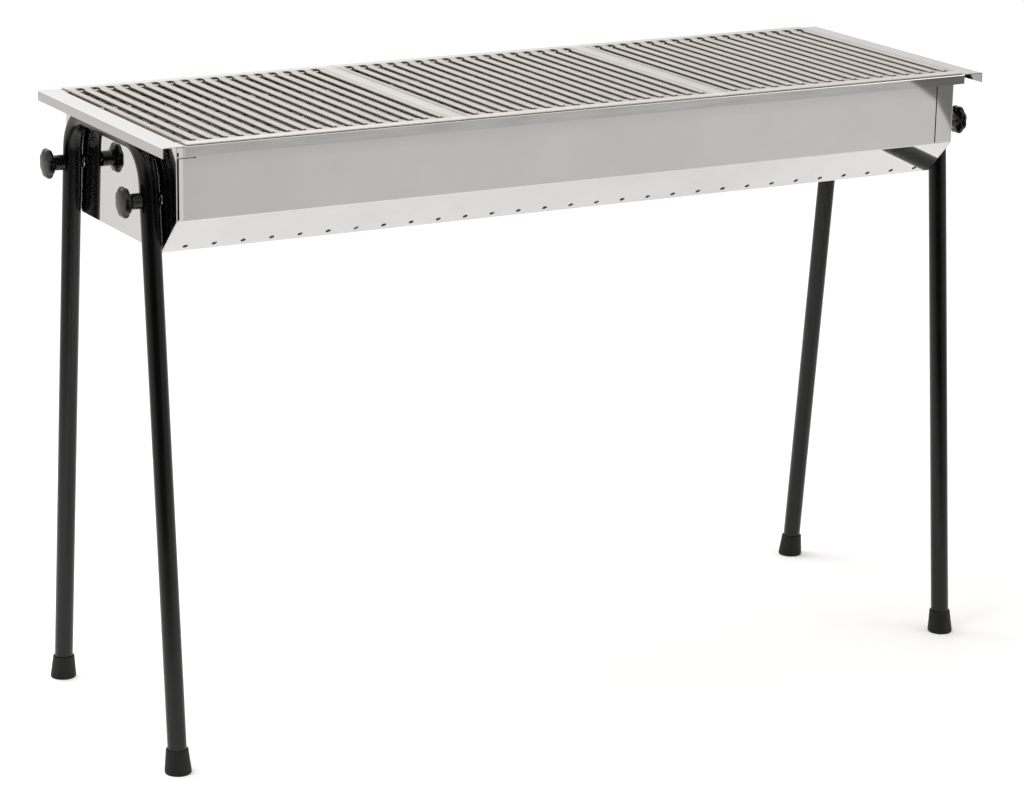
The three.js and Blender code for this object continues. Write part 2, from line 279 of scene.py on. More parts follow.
def new_material(name):
    material = bpy.data.materials.new(name)
    material.use_nodes = True
    nodes = Nodes(material.node_tree)
    output = nodes.add("ShaderNodeOutputMaterial")
    shader = nodes.add("ShaderNodeBsdfPrincipled")
    nodes.link(shader.outputs["BSDF"], output.inputs["Surface"])
    return material, nodes, shader


# ---- Materials ----------------------------------------------------------------------------------
GRAIN_ALONG, GRAIN_ACROSS = 3.0, 900.0
WAVE_DEPTH = 20 * MM


def polished_steel(name, colour, roughness, grain_axis, wave, marks_and_painted_light):
    """Bright sheet: a fine rolled grain, faint handling smudges and a gentle waviness.

    The last argument takes the nodes, the colour and the base so far, and adds the marks and painted light
    that one piece has.
    """
    material, nodes, shader = new_material(name)
    stretch = [GRAIN_ACROSS, GRAIN_ACROSS, GRAIN_ACROSS]
    stretch[grain_axis] = GRAIN_ALONG
    grain = nodes.noise(tuple(stretch), 1.0, detail=3.0)
    smudge = nodes.noise((1, 1, 1), 9.0, detail=5.0, roughness=0.6)
    waves = nodes.noise((1.0, 2.2, 2.2), 3.2, detail=1.0)
    base = nodes.mix(nodes.ramp(smudge, 0.35, 0.7), colour, scaled(colour, 0.94))
    nodes.link(marks_and_painted_light(nodes, colour, base), shader.inputs["Base Color"])
    shader.inputs["Metallic"].default_value = 1.0
    rough = nodes.ramp(grain, 0.3, 0.75, roughness * 0.8, roughness * 1.25)
    wear_and_edge_highlight = nodes.ramp(smudge, 0.45, 0.75, 0.0, roughness * 0.5)
    nodes.link(nodes.math("ADD", rough, wear_and_edge_highlight), shader.inputs["Roughness"])
    wavy = nodes.bump(waves, wave, WAVE_DEPTH)
    nodes.link(nodes.bump(grain, 0.003, 0.05 * MM, wavy), shader.inputs["Normal"])
    return material


def lip_mask(nodes, outwards, height, edge):
    """One on the turned-down lip whose outer face is at edge, zero elsewhere."""
    reach = nodes.ramp(outwards, edge - 1.2 * MM, edge - 0.8 * MM)
    return nodes.math("MULTIPLY", reach, nodes.ramp(height, RIM_Z - 1 * MM, RIM_Z - 2 * MM))


def trough_marks_and_painted_light(nodes, colour, base):
    """Painted shade near the rim under the lip, streaks on the lip, a painted highlight at the walls' ends
    and painted shade under the grates and inside.
    """
    place = nodes.position()
    height = place["Z"]
    outwards = nodes.size(place["Y"])
    # painted shade: the sheet is darker and warmer towards the rim, for the shade under the overhanging lip
    rim_shade = nodes.ramp(height, RIM_Z - 36 * MM, RIM_Z - 16 * MM)
    base = nodes.mix(rim_shade, base, scaled(colour, (0.88, 0.875, 0.865)))

    streaks = nodes.noise((14, 1, 160), 1.0, detail=4.0, roughness=0.6)
    drawn = nodes.mix(nodes.ramp(streaks, 0.3, 0.7), scaled(colour, 0.70), scaled(colour, 0.86))
    base = nodes.mix(lip_mask(nodes, outwards, height, RIM_Y), base, drawn)

    # painted highlight: the last strip of each wall towards the end plates is brightened, for light caught
    # on the walls' edges
    wall = nodes.math("MULTIPLY", nodes.ramp(outwards, WALL_Y + 2 * MM, WALL_Y + 1 * MM),
                      nodes.ramp(height, FOLD_Z, FOLD_Z + 2 * MM))
    strip = nodes.ramp(nodes.size(place["X"]), END_X - CORNER_STRIP, END_X - CORNER_STRIP + 1 * MM)
    base = nodes.mix(nodes.math("MULTIPLY", strip, wall), base, scaled(colour, 1.24))

    # painted shade: the rim flange under the grates and the insides of the walls are darkened and warmed
    under_grates = nodes.math("MULTIPLY", nodes.ramp(outwards, RIM_Y - 4 * MM, RIM_Y - 6 * MM),
                              nodes.ramp(height, RIM_Z - 1.2 * MM, RIM_Z - 0.8 * MM))
    inside = nodes.math("MULTIPLY", nodes.ramp(outwards, WALL_Y - 0.4 * MM, WALL_Y - 0.6 * MM),
                        nodes.ramp(height, FOLD_Z + 2 * MM, FOLD_Z + 3 * MM))
    painted_shade = nodes.math("MAXIMUM", under_grates, inside)
    return nodes.mix(painted_shade, base, scaled(colour, (0.72, 0.69, 0.66)))


def end_plate_stains(nodes, colour, base):
    """Duller on the turned-down lip."""
    place = nodes.position()
    on_lip = lip_mask(nodes, nodes.size(place["X"]), place["Z"], END_RIM_X)
    return nodes.mix(on_lip, base, scaled(colour, 0.76))


PALEST_STEEL = 0.82
SHADED_FLANK_COLOUR = (0.45, 0.40, 0.36)


def grate_steel(name, pale, dark):
    """Satin bars: brushed along their length, slightly warm, with painted shade on their flanks and a
    painted highlight on the strip past the slots.
    """
    material, nodes, shader = new_material(name)
    grain = nodes.noise((700, 6, 700), 1.0, detail=3.0)
    patches = nodes.noise((1, 1, 1), 22.0, detail=5.0, roughness=0.65)
    warm = nodes.mix(nodes.ramp(patches, 0.3, 0.7), pale, dark)
    place = nodes.position()
    # painted shade: the turned-down flanks of the bars take a darker, warmer colour than the tops
    on_top = nodes.ramp(place["Z"], GRATE_TOP - 1.5 * MM, GRATE_TOP - 0.5 * MM)
    # painted highlight: the tops past the slot ends are brightened, up to PALEST_STEEL
    margin_highlight = nodes.ramp(nodes.size(place["Y"]), SLOT_END, SLOT_END + 3 * MM)
    top = nodes.mix(margin_highlight, warm, tuple(min(channel, PALEST_STEEL) for channel in scaled(pale, 1.3)))
    nodes.link(nodes.mix(on_top, SHADED_FLANK_COLOUR, top), shader.inputs["Base Color"])
    shader.inputs["Metallic"].default_value = 1.0
    nodes.link(nodes.ramp(grain, 0.3, 0.7, 0.24, 0.36), shader.inputs["Roughness"])
    nodes.link(nodes.bump(grain, 0.08, 0.05 * MM), shader.inputs["Normal"])
    return material


def dull_steel(name, dark, light, roughness, metallic=1.0):
    """Plain mill-finish or plated steel with a mottled surface."""
    material, nodes, shader = new_material(name)
    mottle = nodes.noise((1, 1, 1), 60.0, detail=6.0, roughness=0.7)
    nodes.link(nodes.mix(nodes.ramp(mottle, 0.3, 0.7), dark, light), shader.inputs["Base Color"])
    shader.inputs["Metallic"].default_value = metallic
    rough = nodes.ramp(mottle, 0.3, 0.7, roughness * 0.8, roughness * 1.2)
    nodes.link(rough, shader.inputs["Roughness"])
    nodes.link(nodes.bump(mottle, 0.1, 0.1 * MM), shader.inputs["Normal"])
    return material


def black_paint():
    """Semi-gloss powder coat: fine orange peel, with a painted highlight that makes tight curves slightly
    paler.
    """
    material, nodes, shader = new_material("black_paint")
    peel = nodes.noise((1, 1, 1), 900.0, detail=2.0)
    dust = nodes.noise((1, 1, 0.3), 30.0, detail=6.0, roughness=0.7)
    base = nodes.mix(nodes.ramp(dust, 0.4, 0.8), (0.0012, 0.0012, 0.0013), (0.0035, 0.0034, 0.0034))
    # painted highlight: the paint is paler near sharp edges
    wear_and_edge_highlight = nodes.mix(nodes.edge_mask(1.2 * MM, 0.75, 0.97), base, (0.03, 0.03, 0.03))
    nodes.link(wear_and_edge_highlight, shader.inputs["Base Color"])
    shader.inputs["Specular IOR Level"].default_value = 0.36
    nodes.link(nodes.ramp(dust, 0.3, 0.8, 0.20, 0.30), shader.inputs["Roughness"])
    nodes.link(nodes.bump(peel, 0.10, 0.05 * MM), shader.inputs["Normal"])
    return material


def black_rubber():
    """Matte moulded rubber with a dusty bloom."""
    material, nodes, shader = new_material("black_rubber")
    bloom = nodes.noise((1, 1, 1), 120.0, detail=6.0, roughness=0.7)
    base = nodes.mix(nodes.ramp(bloom, 0.4, 0.75), (0.004, 0.004, 0.004), (0.012, 0.012, 0.0115))
    shader.inputs["Specular IOR Level"].default_value = 0.3
    nodes.link(base, shader.inputs["Base Color"])
    nodes.link(nodes.ramp(bloom, 0.3, 0.8, 0.55, 0.75), shader.inputs["Roughness"])
    nodes.link(nodes.bump(bloom, 0.15, 0.1 * MM), shader.inputs["Normal"])
    return material


def black_plastic():
    """Glossy phenolic moulding, faintly marbled, with a painted highlight that makes the edges of the lobes
    paler.
    """
    material, nodes, shader = new_material("black_plastic")
    swirl = nodes.noise((1, 1, 1), 70.0, detail=5.0)
    base = nodes.mix(nodes.ramp(swirl, 0.35, 0.7), (0.0015, 0.0015, 0.0015), (0.005, 0.005, 0.005))
    # painted highlight: the plastic is paler near sharp edges
    painted_edge_highlight = nodes.mix(nodes.edge_mask(1.0 * MM, 0.8, 0.98), base, (0.03, 0.03, 0.03))
    nodes.link(painted_edge_highlight, shader.inputs["Base Color"])
    shader.inputs["Specular IOR Level"].default_value = 0.4
    nodes.link(nodes.ramp(swirl, 0.3, 0.8, 0.14, 0.24), shader.inputs["Roughness"])
    nodes.link(nodes.bump(swirl, 0.05, 0.1 * MM), shader.inputs["Normal"])
    return material


SHEET_STEEL = polished_steel("polished_steel", (0.725, 0.725, 0.725), 0.015, grain_axis=0, wave=0.004,
                             marks_and_painted_light=trough_marks_and_painted_light)
END_STEEL = polished_steel("polished_steel_end", (0.725, 0.725, 0.73), 0.018, grain_axis=1, wave=0.005,
                           marks_and_painted_light=end_plate_stains)
GRATE_STEEL = grate_steel("grate_steel", (0.62, 0.605, 0.58), (0.53, 0.515, 0.49))
BRIDGE_STEEL = grate_steel("bridge_steel", (0.73, 0.725, 0.70), (0.66, 0.655, 0.635))
COAL_STEEL = dull_steel("plate_steel", (0.46, 0.42, 0.385), (0.62, 0.575, 0.535), 0.5, metallic=0.4)
PLATED_STEEL = dull_steel("plated_steel", (0.62, 0.63, 0.65), (0.74, 0.75, 0.77), 0.28)
BLACK_PAINT = black_paint()
BLACK_RUBBER = black_rubber()
BLACK_PLASTIC = black_plastic()


# ---- Mesh helpers -------------------------------------------------------------------------------
def new_object(name, vertices, faces):
    mesh = bpy.data.meshes.new(name)
    mesh.from_pydata([tuple(v) for v in vertices], [], faces)
    mesh.validate()
    piece = bpy.data.objects.new(name, mesh)
    bpy.context.scene.collection.objects.link(piece)
    return piece


def face_outwards(piece):
    mesh = bmesh.new()
    mesh.from_mesh(piece.data)
    bmesh.ops.remove_doubles(mesh, verts=mesh.verts, dist=1e-6)
    bmesh.ops.recalc_face_normals(mesh, faces=mesh.faces)
    mesh.to_mesh(piece.data)
    mesh.free()


def apply_modifiers(piece):
    """Replaces a piece's mesh by its modified mesh."""
    bpy.context.view_layer.update()
    graph = bpy.context.evaluated_depsgraph_get()
    result = bpy.data.meshes.new_from_object(piece.evaluated_get(graph))
    piece.modifiers.clear()
    old = piece.data
    piece.data = result
    bpy.data.meshes.remove(old)


def cut(piece, cutters):
    """Takes each cutter out of the piece and deletes the cutters."""
    for cutter in cutters:
        modifier = piece.modifiers.new("cut", "BOOLEAN")
        modifier.operation = "DIFFERENCE"
        modifier.solver = "EXACT"
        modifier.object = cutter
    apply_modifiers(piece)
    for cutter in cutters:
        bpy.data.objects.remove(cutter)


def box_cutter(low, high):
    mesh = bmesh.new()
    bmesh.ops.create_cube(mesh, size=1)
    size = Vector(high) - Vector(low)
    centre = (Vector(high) + Vector(low)) / 2
    bmesh.ops.scale(mesh, vec=size, verts=mesh.verts)
    bmesh.ops.translate(mesh, vec=centre, verts=mesh.verts)
    return mesh_object("cutter", mesh)


def drill_cutter(spots, axis, radius, length, sides=24):
    """One object holding a cylinder at each spot, all along the same axis."""
    mesh = bmesh.new()
    turn = Vector((0, 0, 1)).rotation_difference(Vector(axis)).to_matrix().to_4x4()
    for spot in spots:
        bmesh.ops.create_cone(
            mesh, cap_ends=True, segments=sides, radius1=radius, radius2=radius, depth=length,
            matrix=Matrix.Translation(spot) @ turn)
    return mesh_object("cutter", mesh)


def mesh_object(name, mesh):
    data = bpy.data.meshes.new(name)
    mesh.to_mesh(data)
    mesh.free()
    piece = bpy.data.objects.new(name, data)
    bpy.context.scene.collection.objects.link(piece)
    return piece


def fillet(points, left, right, steps=5):
    """Rounds the corners of an open line, with one radius for left turns and one for right turns."""
    rounded = [Vector(points[0])]
    for before, corner, after in zip(points, points[1:], points[2:]):
        before, corner, after = Vector(before), Vector(corner), Vector(after)
        inward = (before - corner).normalized()
        outward = (after - corner).normalized()
        turn = inward.x * outward.y - inward.y * outward.x
        radius = left if turn < 0 else right
        half = inward.angle(outward) / 2
        centre = corner + (inward + outward).normalized() * (radius / math.sin(half))
        start = corner + inward * (radius / math.tan(half)) - centre
        sweep = (math.pi - 2 * half) * (1 if turn < 0 else -1)
        for i in range(steps + 1):
            angle = sweep * i / steps
            turned = Matrix.Rotation(angle, 2) @ start
            rounded.append(centre + turned)
    rounded.append(Vector(points[-1]))
    return rounded


def offset_left(line, distance):
    """The line moved to its left, with mitred corners."""
    moved = []
    for i, point in enumerate(line):
        before = line[max(i, 1)] - line[max(i - 1, 0)]
        after = line[min(i + 1, len(line) - 1)] - line[min(i, len(line) - 2)]
        normals = [Vector((-step.y, step.x)).normalized() for step in (before, after)]
        mitre = (normals[0] + normals[1]).normalized()
        moved.append(point + mitre * (distance / mitre.dot(normals[0])))
    return moved


def sheet_strip(name, line, thickness, start, stop, place):
    """A folded sheet: a line and its offset, run from start to stop. place maps (along, a, b) to XYZ."""
    rows = [line, offset_left(line, thickness)]
    count = len(line)
    vertices = [place(along, *point) for along in (start, stop) for row in rows for point in row]

    def index(end, row, i):
        return (end * 2 + row) * count + i

    faces = []
    for i in range(count - 1):
        for row in (0, 1):
            faces.append([index(0, row, i), index(0, row, i + 1), index(1, row, i + 1), index(1, row, i)])
        for end in (0, 1):
            faces.append([index(end, 0, i), index(end, 0, i + 1), index(end, 1, i + 1), index(end, 1, i)])
    for i in (0, count - 1):
        faces.append([index(0, 0, i), index(0, 1, i), index(1, 1, i), index(1, 0, i)])
    piece = new_object(name, vertices, faces)
    face_outwards(piece)
    return piece


def grid_surface(name, rows, keep=lambda row, column: True):
    """A surface through rows of points; keep says which squares of the grid exist."""
    columns = len(rows[0])
    vertices = [point for row in rows for point in row]
    faces = []
    for r in range(len(rows) - 1):
        for c in range(columns - 1):
            if keep(r, c):
                at = r * columns + c
                faces.append([at, at + 1, at + columns + 1, at + columns])
    return new_object(name, vertices, faces)


def revolve(name, profile, place, segments=48, shape=None, closed=False):
    """Turns a profile of (along, radius) pairs.

    place maps (along, a, b) to XYZ, and shape may vary the radius.
    """
    vertices, faces = [], []
    for i, (along, radius) in enumerate(profile):
        for j in range(segments):
            angle = 2 * math.pi * j / segments
            reach = shape(i, angle, radius) if shape else radius
            vertices.append(place(along, reach * math.cos(angle), reach * math.sin(angle)))
    rings = len(profile)
    for i in range(rings if closed else rings - 1):
        for j in range(segments):
            a, b = i * segments, ((i + 1) % rings) * segments
            k = (j + 1) % segments
            faces.append([a + j, a + k, b + k, b + j])
    if not closed:
        faces.append(list(range(segments)))
        faces.append(list(range((rings - 1) * segments, rings * segments)))
    piece = new_object(name, vertices, faces)
    face_outwards(piece)
    return piece


def thicken(piece, thickness, offset=-1.0):
    modifier = piece.modifiers.new("sheet", "SOLIDIFY")
    modifier.thickness = thickness
    modifier.offset = offset
    modifier.use_even_offset = True
    modifier.use_quality_normals = True
    apply_modifiers(piece)


def soften(piece, width, angle=40, segments=2):
    modifier = piece.modifiers.new("soft_edges", "BEVEL")
    modifier.width = width
    modifier.segments = segments
    modifier.limit_method = "ANGLE"
    modifier.angle_limit = math.radians(angle)
    modifier.harden_normals = False
    modifier.use_clamp_overlap = True


def shade(piece, angle=35):
    """Smooth shading with sharp edges kept, and large flat faces kept flat."""
    for polygon in piece.data.polygons:
        polygon.use_smooth = True
    piece.data.set_sharp_from_angle(angle=math.radians(angle))
    modifier = piece.modifiers.new("flat_faces", "WEIGHTED_NORMAL")
    modifier.keep_sharp = True
    modifier.weight = 80


BODY_OF = {node: body for body, nodes in frame["record"]["behaviour"]["bodies"].items() for node in nodes}


def finish_piece(piece, node, material, angle=35, edge=None):
    """Gives a piece its material and shading, and puts it in the place of its CAD node."""
    piece.name = node + "_finish"
    piece.data.name = piece.name
    piece.data.materials.clear()
    piece.data.materials.append(material)
    if edge:
        soften(piece, edge)
    shade(piece, angle)
    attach(piece, BODY_OF[node])
    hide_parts(node)


# ---- Trough -------------------------------------------------------------------------------------
def trough():
    lip_y, lip_z, rim_z = RIM_Y - SHEET, RIM_Z - LIP_DROP, RIM_Z - SHEET
    front = [(-lip_y, lip_z), (-lip_y, rim_z), (-WALL_Y, rim_z), (-WALL_Y, FOLD_Z), (-PAN_Y, PAN_Z)]
    outline = front + [(-y, z) for y, z in reversed(front)]
    line = fillet(outline, left=BEND + SHEET, right=BEND)
    shell = sheet_strip("trough", line, SHEET, -SHELL_X, SHELL_X, lambda x, y, z: (x, y, z))
    cutters = []
    slope = math.atan2(FOLD_Z - PAN_Z, WALL_Y - PAN_Y)
    hole_y = WALL_Y + (PAN_Y - WALL_Y) * HOLE_DOWN_SLOPE
    hole_z = FOLD_Z + (PAN_Z - FOLD_Z) * HOLE_DOWN_SLOPE
    for side in (-1, 1):
        spots = [((i - (HOLES - 1) / 2) * HOLE_PITCH, side * hole_y, hole_z) for i in range(HOLES)]
        axis = (0, side * math.sin(slope), -math.cos(slope))
        cutters.append(drill_cutter(spots, axis, HOLE_RADIUS, THROUGH))
    groove_x = END_X - CORNER_GROOVE
    for side in (-1, 1):
        for inner_x, low_z, high_z in (
                (groove_x, FOLD_Z + RETURN_LIFT, RIM_Z - LIP_DROP),
                (groove_x - SLIT_LENGTH, SLIT_Z - SLIT_HEIGHT / 2, SLIT_Z + SLIT_HEIGHT / 2)):
            xs = sorted((side * inner_x, side * (END_X + SHEET)))
            ys = sorted((side * (WALL_Y - 2 * SHEET), side * (WALL_Y + SHEET)))
            cutters.append(box_cutter((xs[0], ys[0], low_z), (xs[1], ys[1], high_z)))
    cut(shell, cutters)
    finish_piece(shell, "trough_shell", SHEET_STEEL, angle=25)


# ---- End plates ---------------------------------------------------------------------------------
def end_plate():
    """One plate with its rim, lip and corner returns, joined from closed strips."""
    rim_line = fillet(
        [(-END_X, FOLD_Z), (-END_X, RIM_Z - SHEET), (-END_RIM_X + SHEET, RIM_Z - SHEET),
         (-END_RIM_X + SHEET, RIM_Z - LIP_DROP)], left=BEND, right=BEND)
    # the plate's inner face is on the right of this line, so the offset is negative
    middle = sheet_strip("plate", rim_line, -SHEET, -WALL_Y, WALL_Y, lambda y, x, z: (x, y, z))
    pieces = [middle]
    for low_y, high_y in ((-RIM_Y, -WALL_Y), (WALL_Y, RIM_Y)):
        ear_line = fillet(
            [(-END_X + SHEET, RIM_Z - SHEET), (-END_RIM_X + SHEET, RIM_Z - SHEET),
             (-END_RIM_X + SHEET, RIM_Z - LIP_DROP)], left=BEND, right=BEND)
        pieces.append(sheet_strip("ear", ear_line, -SHEET, low_y, high_y, lambda y, x, z: (x, y, z)))
    outline = [(-WALL_Y, FOLD_Z), (-PAN_Y, PAN_Z), (PAN_Y, PAN_Z), (WALL_Y, FOLD_Z)]
    count = len(outline)
    vertices = [(x, y, z) for x in (-END_X, -END_X + SHEET) for y, z in outline]
    faces = [list(range(count)), list(range(count, 2 * count))]
    for i in range(count):
        k = (i + 1) % count
        faces.append([i, k, count + k, count + i])
    lower = new_object("lower", vertices, faces)
    face_outwards(lower)
    pieces.append(lower)
    low, high = FOLD_Z + RETURN_LIFT, RIM_Z - LIP_DROP
    hidden_y = -WALL_Y + 3 * SHEET
    showing_y = WALL_Y + SHEET + CLEARANCE
    hidden = fillet(
        [(-END_X, hidden_y + RETURN_EDGE), (-END_X, hidden_y), (-END_X + RETURN_WIDTH, hidden_y)],
        left=BEND + SHEET, right=BEND + SHEET)
    showing = fillet(
        [(-END_X, showing_y - RETURN_EDGE), (-END_X, showing_y), (-END_X + RETURN_WIDTH, showing_y)],
        left=BEND + SHEET, right=BEND + SHEET)
    pieces.append(sheet_strip("hidden", hidden, SHEET, low, high, lambda z, x, y: (x, y, z)))
    pieces.append(sheet_strip("showing", showing, -SHEET, low, high, lambda z, x, y: (x, y, z)))
    return unite(pieces)


def unite(pieces):
    """Joins closed solids into the first one."""
    body = pieces[0]
    for other in pieces[1:]:
        modifier = body.modifiers.new("join", "BOOLEAN")
        modifier.operation = "UNION"
        modifier.solver = "EXACT"
        modifier.object = other
    apply_modifiers(body)
    for other in pieces[1:]:
        bpy.data.objects.remove(other)
    return body


def end_plates():
    for name, side in SIDES:
        node = f"end_plate_{name}"
        plate = end_plate()
        spots = [(-END_X, out * CLAMP_Y, CLAMP_Z) for out in (-1, 1)]
        cut(plate, [drill_cutter(spots, (1, 0, 0), STUD_HOLE, THROUGH)])
        if side > 0:
            plate.data.transform(Matrix.Rotation(math.pi, 4, "Z"))
        finish_piece(plate, node, END_STEEL, angle=25)


# ---- Cooking grates and bridge bars -------------------------------------------------------------
SHOULDER_STEPS = 5


def shoulder(edge, inward, amount):
    """Points from a slot's edge inwards: turned down where amount is 1, flat where it is 0."""
    points = []
    for i in range(SHOULDER_STEPS + 2):
        angle = max(i - 1, 0) / SHOULDER_STEPS * math.pi / 2
        flat = BAR_SHOULDER * i / (SHOULDER_STEPS + 1)
        bent = BAR_SHOULDER * (1 - math.cos(angle))
        drop = BAR_CROWN + (BAR_SHOULDER * (1 - math.sin(angle)) if i else BAR_DROP)
        points.append((edge + inward * (flat + (bent - flat) * amount), -drop * amount))
    return points


def bar_section(centre, half_width, amount):
    """Points across one bar: a faintly crowned top with both edges turned down."""
    left = shoulder(centre - half_width, 1, amount)
    right = shoulder(centre + half_width, -1, amount)
    return left + [(centre, 0.0)] + right[::-1]


def edge_section(outer, inner, amount):
    """Points across a side strip of the frame, from its outer edge to the slot."""
    return [(outer, 0.0)] + shoulder(inner, math.copysign(1, outer - inner), amount)[::-1]


def smooth_step(value):
    value = min(max(value, 0.0), 1.0)
    return value * value * (3 - 2 * value)


def grate_row(centre_x, y):
    """The points of one row across a grate. A slot is the gap between one section and the next."""
    reach = abs(y)
    amount = smooth_step((TURNED_END - reach) / (5 * MM))
    rounding = min(max((reach - (SLOT_END - 3 * MM)) / (3 * MM), 0.0), 1.0)
    slot_half = SLOT_WIDTH / 2 - 3 * MM * (1 - math.sqrt(max(0.0, 1 - rounding * rounding)))
    bar_half = SLOT_PITCH / 2 - slot_half
    first = -(SLOTS - 1) / 2 * SLOT_PITCH
    row = edge_section(-GRATE_WIDTH / 2, first - slot_half, amount)
    for i in range(SLOTS - 1):
        row += bar_section(first + (i + 0.5) * SLOT_PITCH, bar_half, amount)
    row += reversed(edge_section(GRATE_WIDTH / 2, -first + slot_half, amount))
    return [(centre_x + x, y, GRATE_TOP + z) for x, z in row]


def cooking_grate(name, place):
    ys = [GRATE_HALF_DEPTH, SLOT_END + 6 * MM]
    ys += [SLOT_END - step * MM for step in (0, 0.3, 0.7, 1.2, 1.8, 2.5, 3.2)]
    ys += [TURNED_END - step * MM for step in range(6)]
    ys += [100 * MM, 35 * MM]
    ys = [-y for y in ys] + list(reversed(ys))
    rows = [grate_row(place * GRATE_PITCH, y) for y in ys]
    edge_count = len(edge_section(0, 1, 0))
    bar_count = len(bar_section(0, 1, 0))
    slot_columns = {edge_count - 1 + i * bar_count for i in range(SLOTS)}

    def keep(row, column):
        over_slot = abs(ys[row]) <= SLOT_END and abs(ys[row + 1]) <= SLOT_END
        return not (over_slot and column in slot_columns)

    grate = grid_surface("grate", rows, keep)
    thicken(grate, GRATE_SHEET, offset=-1)
    finish_piece(grate, f"cooking_grate_{name}", GRATE_STEEL, angle=50)


def bridge_bar(name, side):
    """A flat strip level with the grates, with its edges turned down between the walls."""
    half = BRIDGE_WIDTH / 2
    line = fillet([(-half, GRATE_TOP - BRIDGE_DROP), (-half, GRATE_TOP), (half, GRATE_TOP),
                   (half, GRATE_TOP - BRIDGE_DROP)], left=1.6 * MM, right=1.6 * MM)
    middle = side * GRATE_PITCH / 2
    bar = sheet_strip("bridge", line, -1.5 * MM, -GRATE_HALF_DEPTH, GRATE_HALF_DEPTH,
                      lambda y, x, z: (middle + x, y, z))
    flange_cuts = []
    for end in (-1, 1):
        ys = sorted((end * BRIDGE_SIDE, end * (GRATE_HALF_DEPTH + 5 * MM)))
        low = (middle - BRIDGE_WIDTH, ys[0], GRATE_TOP - 2 * BRIDGE_DROP)
        flange_cuts.append(box_cutter(low, (middle + BRIDGE_WIDTH, ys[1], GRATE_TOP - 1.62 * MM)))
    cut(bar, flange_cuts)
    finish_piece(bar, f"bridge_bar_{name}", BRIDGE_STEEL, angle=35)


# ---- Charcoal plates ----------------------------------------------------------------------------
def charcoal_plate(name, place):
    rows, row_pitch, across = 8, 40 * MM, 7 * MM
    slots, slot_pitch, along = 6, 60 * MM, 23 * MM
    centre = place * COAL_PITCH

    def lines(count, pitch, half, edge):
        marks = [-edge]
        for i in range(count):
            middle = (i - (count - 1) / 2) * pitch
            marks += [middle - half, middle + half]
        return marks + [edge]

    xs = lines(slots, slot_pitch, along, COAL_WIDTH / 2)
    ys = lines(rows, row_pitch, across, COAL_HALF_DEPTH)
    top = COAL_Z + COAL_SHEET
    grid = [[(centre + x, y, top) for x in xs] for y in ys]
    plate = grid_surface("plate", grid, lambda row, column: not (row % 2 and column % 2))
    thicken(plate, COAL_SHEET, offset=-1)
    finish_piece(plate, f"charcoal_plate_{name}", COAL_STEEL, edge=0.5 * MM)


# ---- Leg frames ---------------------------------------------------------------------------------
def leg_path(overrun=0.0):
    """Points and directions along the tube's centre line, in the YZ plane, from one foot to the other."""
    splay = math.atan(LEG_SLOPE)
    bend_z = CROSSBAR_Z - TUBE_BEND
    bend_y = leg_y(bend_z) - TUBE_BEND / math.cos(splay)
    end_z = TUBE_END - overrun
    stations = [(-leg_y(end_z), end_z, splay), (-leg_y(0.35), 0.35, splay)]
    steps = 20
    for i in range(steps + 1):
        angle = splay + (math.pi / 2 - splay) * i / steps
        y = -bend_y - TUBE_BEND * math.cos(angle)
        stations.append((y, bend_z + TUBE_BEND * math.sin(angle), angle))
    return stations + [(-y, z, math.pi - angle) for y, z, angle in reversed(stations)]


def tube_rings(radius, x, overrun=0.0, segments=40):
    rings = []
    for y, z, angle in leg_path(overrun):
        normal = Vector((0, -math.cos(angle), math.sin(angle)))
        ring = []
        for j in range(segments):
            turn = 2 * math.pi * j / segments
            offset = Vector((1, 0, 0)) * math.cos(turn) + normal * math.sin(turn)
            ring.append(Vector((x, y, z)) + offset * radius)
        rings.append(ring)
    return rings


def leg_frame(name, side):
    segments = 40
    outer = tube_rings(TUBE_RADIUS, side * TUBE_X)
    inner = tube_rings(TUBE_RADIUS - TUBE_WALL, side * TUBE_X)
    rings = outer + list(reversed(inner))
    vertices = [point for ring in rings for point in ring]
    faces = []
    for i in range(len(rings)):
        a, b = i * segments, (i + 1) % len(rings) * segments
        for j in range(segments):
            k = (j + 1) % segments
            faces.append([a + j, a + k, b + k, b + j])
    tube = new_object("tube", vertices, faces)
    face_outwards(tube)
    spots = [(side * TUBE_X, end * CLAMP_Y, CLAMP_Z) for _, end in ENDS]
    cut(tube, [drill_cutter(spots, (1, 0, 0), STUD_HOLE, 3 * TUBE_RADIUS)])
    finish_piece(tube, f"leg_frame_{name}", BLACK_PAINT, angle=40)


def rubber_foot(side_name, side, end_name, end):
    """A tapered ferrule with a flared sole and a beaded mouth, closed round the tube."""
    outside = [(0.0, 15.6), (0.0, 16.7), (0.8, 17.3), (2.0, 17.5), (4.0, 17.45), (9.0, 16.95), (16.0, 16.2),
               (23.0, 15.5), (28.5, 14.95), (30.6, 14.8), (31.6, 14.4), (32.0, 13.4)]
    mouth = [(31.6, 12.8), (4.5, 12.75), (4.0, 11.0)]
    profile = [(z * MM, r * MM) for z, r in [(0.0, 9.0)] + outside + mouth]

    def place(z, a, b):
        return (side * TUBE_X + a, end * (LEG_FOOT_Y - z * LEG_SLOPE) + b, z)

    foot = revolve("foot", profile, place, segments=48)
    finish_piece(foot, f"foot_{end_name}_{side_name}", BLACK_RUBBER, angle=50)


# ---- Clamp screws -------------------------------------------------------------------------------
def clamp_place(side, end):
    """Maps (along, a, b) to XYZ, with along measured outwards from the middle of the grill."""
    return lambda along, a, b: (side * along, end * CLAMP_Y + a, CLAMP_Z + b)


